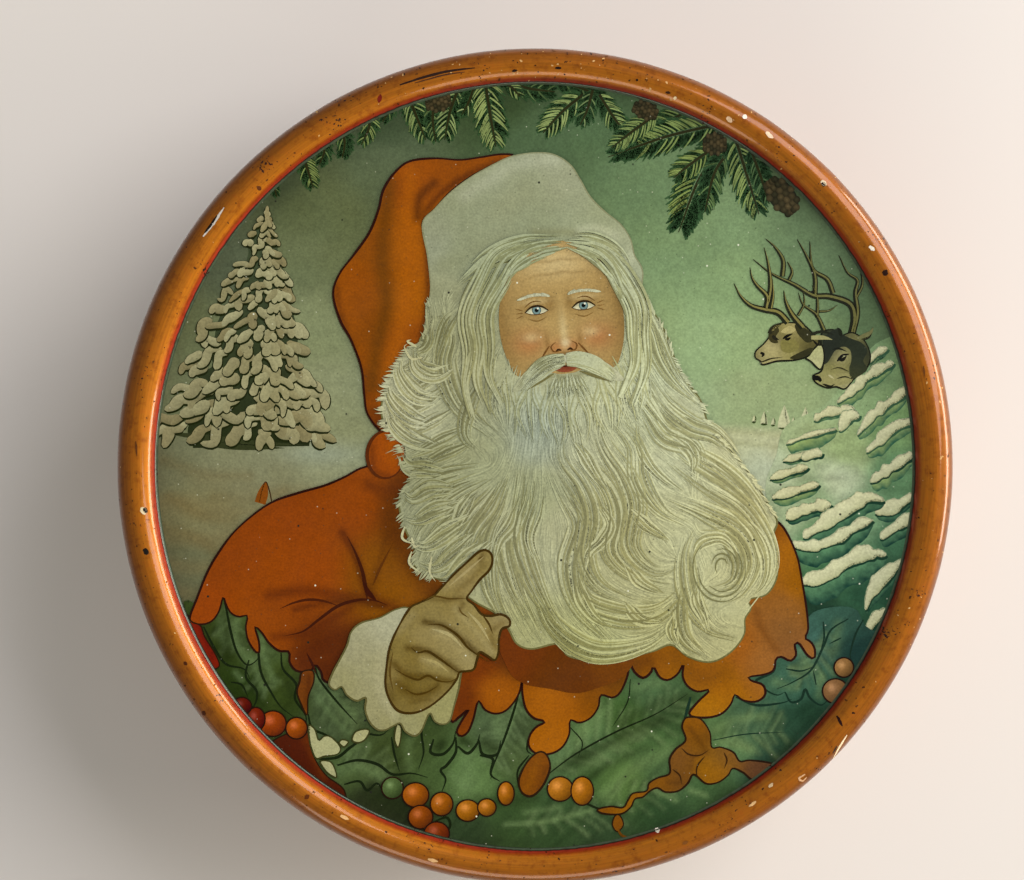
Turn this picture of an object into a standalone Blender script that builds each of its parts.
"""Round lithographed tin: a slip-over lid, a rolled body wall and a seamed-on bottom end.

Metres, +Z up. The origin is the middle of the circle that the tin stands on.
Each piece is one sheet of tinplate: the line that its middle follows in section
is turned about Z, then given the sheet's thickness.
"""
import math

import bpy
from mathutils import Matrix

MM = 0.001

# Overall sizes
LID_DIAMETER = 165.0 * MM       # outside of the lid's skirt and of its ring bead
TIN_HEIGHT = 57.0 * MM          # floor to the crest of the ring bead
LID_DEPTH = 15.0 * MM           # crest of the ring bead to the bottom of the skirt's curl
SHEET = 0.30 * MM               # tinplate thickness

# Lid
BEAD_WIDTH = 7.2 * MM           # the half-round ring bead, measured across its outside
PANEL_DROP = 3.0 * MM           # crest of the bead down to the face of the picture panel
PANEL_FILLET = 0.8 * MM         # middle of the sheet, where the panel turns up into the bead
SKIRT_CURL = 0.70 * MM          # radius of the inward curl, to the middle of the sheet
LID_CLEARANCE = 0.35 * MM       # skirt curl to body wall, all round
SEAT_GAP = 0.30 * MM            # inside of the bead to the curl that it lands on

# Body wall
MOUTH_CURL = 0.85 * MM          # radius of the inward curl at the mouth, middle of the sheet
CURL_SWEEP = 290                # degrees that both curls turn through, so they stay open
SEAM_WIDTH = 4.5 * MM           # locked side seam, along the wall
SEAM_INSIDE = 0.35 * MM         # how far the folded seam stands into the tin
SEAM_OUTSIDE = 0.12 * MM        # and out of it
SEAM_END_GAP = 1.2 * MM         # side seam to the curl above and to the double seam below

# Bottom end and its double seam
DOUBLE_SEAM_HEIGHT = 3.2 * MM
LAYER_GAP = 0.15 * MM           # between the folded layers of the double seam
COUNTERSINK = 3.2 * MM          # floor to the middle of the sunk bottom panel
END_FILLET = 0.8 * MM           # bottom panel to the wall that it is sunk by
RING_INSET = 14.0 * MM          # sunk wall to the middle of the ring pressed into the panel
RING_WIDTH = 6.0 * MM
RING_HEIGHT = 1.0 * MM

# Facets
TURN_STEPS = 60
CURL_STEPS = 7
BEAD_STEPS = 5
FILLET_STEPS = 2
FOLD_STEPS = 4
RING_STEPS = 4

# Worked out from the sizes above
HALF_SHEET = SHEET / 2
SKIRT_R = LID_DIAMETER / 2 - HALF_SHEET
BEAD_R = BEAD_WIDTH / 2 - HALF_SHEET
BEAD_CENTRE_R = LID_DIAMETER / 2 - BEAD_WIDTH / 2
BEAD_CENTRE_Z = TIN_HEIGHT - BEAD_WIDTH / 2
PANEL_Z = TIN_HEIGHT - PANEL_DROP - HALF_SHEET
WALL_R = SKIRT_R - 2 * SKIRT_CURL - SHEET - LID_CLEARANCE
MOUTH_CURL_R = WALL_R - MOUTH_CURL
SEAT = BEAD_R - SHEET - MOUTH_CURL - SEAT_GAP
MOUTH_CURL_Z = BEAD_CENTRE_Z + math.sqrt(SEAT ** 2 - (MOUTH_CURL_R - BEAD_CENTRE_R) ** 2)
LAYER = SHEET + LAYER_GAP
BODY_FOLD_R = WALL_R + LAYER
BODY_FOLD_Z = HALF_SHEET + 2 * LAYER
END_FOLD_Z = DOUBLE_SEAM_HEIGHT - HALF_SHEET - LAYER


def arc(centre_r, centre_z, radius, start, end, steps):
    """Points (r, z) along an arc, angles in degrees from +r towards +Z."""
    turn = (end - start) / steps
    return [(centre_r + radius * math.cos(math.radians(start + turn * i)),
             centre_z + radius * math.sin(math.radians(start + turn * i)))
            for i in range(steps + 1)]


def lid_line():
    """Panel, fillet, ring bead, skirt and inward curl, from the axis outwards."""
    fillet_z = PANEL_Z + PANEL_FILLET
    rise = math.asin((fillet_z - BEAD_CENTRE_Z) / (BEAD_R + PANEL_FILLET))
    lean = math.degrees(rise)
    fillet_r = BEAD_CENTRE_R - (BEAD_R + PANEL_FILLET) * math.cos(rise)
    curl_z = TIN_HEIGHT - LID_DEPTH + SKIRT_CURL + HALF_SHEET
    fillet = arc(fillet_r, fillet_z, PANEL_FILLET, -90, -lean, FILLET_STEPS)
    bead_inner = arc(BEAD_CENTRE_R, BEAD_CENTRE_Z, BEAD_R, 180 - lean, 90, BEAD_STEPS)
    bead_outer = arc(BEAD_CENTRE_R, BEAD_CENTRE_Z, BEAD_R, 90, 0, BEAD_STEPS)
    curl = arc(SKIRT_R - SKIRT_CURL, curl_z, SKIRT_CURL, 0, -CURL_SWEEP, CURL_STEPS)
    return [(0, PANEL_Z)] + fillet + bead_inner[1:] + bead_outer[1:] + curl


def wall_line():
    """Inward curl at the mouth, straight wall, and the hook folded into the double seam."""
    curl = arc(MOUTH_CURL_R, MOUTH_CURL_Z, MOUTH_CURL, CURL_SWEEP, 0, CURL_STEPS)
    fold = arc(BODY_FOLD_R, BODY_FOLD_Z, LAYER, 180, 360, FOLD_STEPS)
    hook = [(WALL_R + 2 * LAYER, END_FOLD_Z)]
    return curl + fold + hook


def end_line():
    """Sunk panel with its ring, sunk wall, foot, and the fold over the body's hook."""
    sunk_r = WALL_R - LAYER
    outer_r = WALL_R + 3 * LAYER
    foot_z = HALF_SHEET + LAYER
    ring_r = sunk_r - RING_INSET
    ring = []
    for i in range(RING_STEPS + 1):
        share = i / RING_STEPS
        rise = RING_HEIGHT * math.sin(math.pi * share) ** 2
        ring.append((ring_r + RING_WIDTH * (share - 0.5), COUNTERSINK + rise))
    fillet = arc(sunk_r - END_FILLET, COUNTERSINK - END_FILLET, END_FILLET, 90, 0, FILLET_STEPS)
    foot = (arc(sunk_r + LAYER, foot_z, LAYER, 180, 270, FILLET_STEPS)
            + arc(outer_r - LAYER, foot_z, LAYER, 270, 360, FILLET_STEPS))
    fold = arc(outer_r - LAYER, END_FOLD_Z, LAYER, 0, 180, FOLD_STEPS)
    hook = [(BODY_FOLD_R, BODY_FOLD_Z)]
    return [(0, COUNTERSINK)] + ring + fillet + foot + fold + hook


def metal(name, colour, roughness, metallic):
    made = bpy.data.materials.new(name)
    made.use_nodes = True
    shader = made.node_tree.nodes["Principled BSDF"]
    shader.inputs["Base Color"].default_value = (*colour, 1)
    shader.inputs["Roughness"].default_value = roughness
    shader.inputs["Metallic"].default_value = metallic
    return made


def collection(name):
    made = bpy.data.collections.new(name)
    bpy.context.scene.collection.children.link(made)
    return made


def turned_sheet(name, line, material, where):
    """A line of (r, z) points turned about Z and given the sheet's thickness."""
    mesh = bpy.data.meshes.new(name)
    points = [(r, 0, z) for r, z in line]
    mesh.from_pydata(points, [(i, i + 1) for i in range(len(points) - 1)], [])
    mesh.materials.append(material)
    obj = bpy.data.objects.new(name, mesh)
    where.objects.link(obj)
    screw = obj.modifiers.new("turn", "SCREW")
    screw.steps = screw.render_steps = TURN_STEPS
    screw.use_merge_vertices = True
    screw.merge_threshold = 0.00001
    screw.use_smooth_shade = True
    thick = obj.modifiers.new("sheet", "SOLIDIFY")
    thick.thickness = SHEET
    thick.offset = 0
    thick.use_even_offset = True
    return obj


def side_seam(where):
    """The locked seam: a flat strip centred on one facet of the wall, at the back."""
    half_facet = math.pi / TURN_STEPS
    inner = (WALL_R - HALF_SHEET) * math.cos(half_facet) - SEAM_INSIDE
    outer = (WALL_R + HALF_SHEET) * math.cos(half_facet) + SEAM_OUTSIDE
    bottom = DOUBLE_SEAM_HEIGHT + SEAM_END_GAP
    top = MOUTH_CURL_Z - MOUTH_CURL - HALF_SHEET - SEAM_END_GAP
    bpy.ops.mesh.primitive_cube_add(size=1)
    strip = bpy.context.object
    strip.name = "side_seam_strip"
    strip.data.transform(Matrix.Diagonal((outer - inner, SEAM_WIDTH, top - bottom, 1)))
    strip.location = ((outer + inner) / 2, 0, (top + bottom) / 2)
    strip.matrix_world = Matrix.Rotation(math.pi / 2 + half_facet, 4, "Z") @ strip.matrix_basis
    strip.hide_render = True
    strip.display_type = "WIRE"
    for other in strip.users_collection:
        other.objects.unlink(strip)
    where.objects.link(strip)
    return strip


def main():
    for obj in list(bpy.data.objects):
        bpy.data.objects.remove(obj)
    parts = collection("lithographed_tin")
    tools = collection("tools")
    lacquer = metal("orange_gold_lacquer", (0.46, 0.17, 0.015), 0.35, 0.6)
    tinplate = metal("bare_tinplate", (0.62, 0.61, 0.58), 0.4, 1.0)

    turned_sheet("lid", lid_line(), lacquer, parts)
    wall = turned_sheet("body_wall", wall_line(), lacquer, parts)
    turned_sheet("bottom_end", end_line(), tinplate, parts)

    seam = wall.modifiers.new("side_seam", "BOOLEAN")
    seam.operation = "UNION"
    seam.object = side_seam(tools)


main()
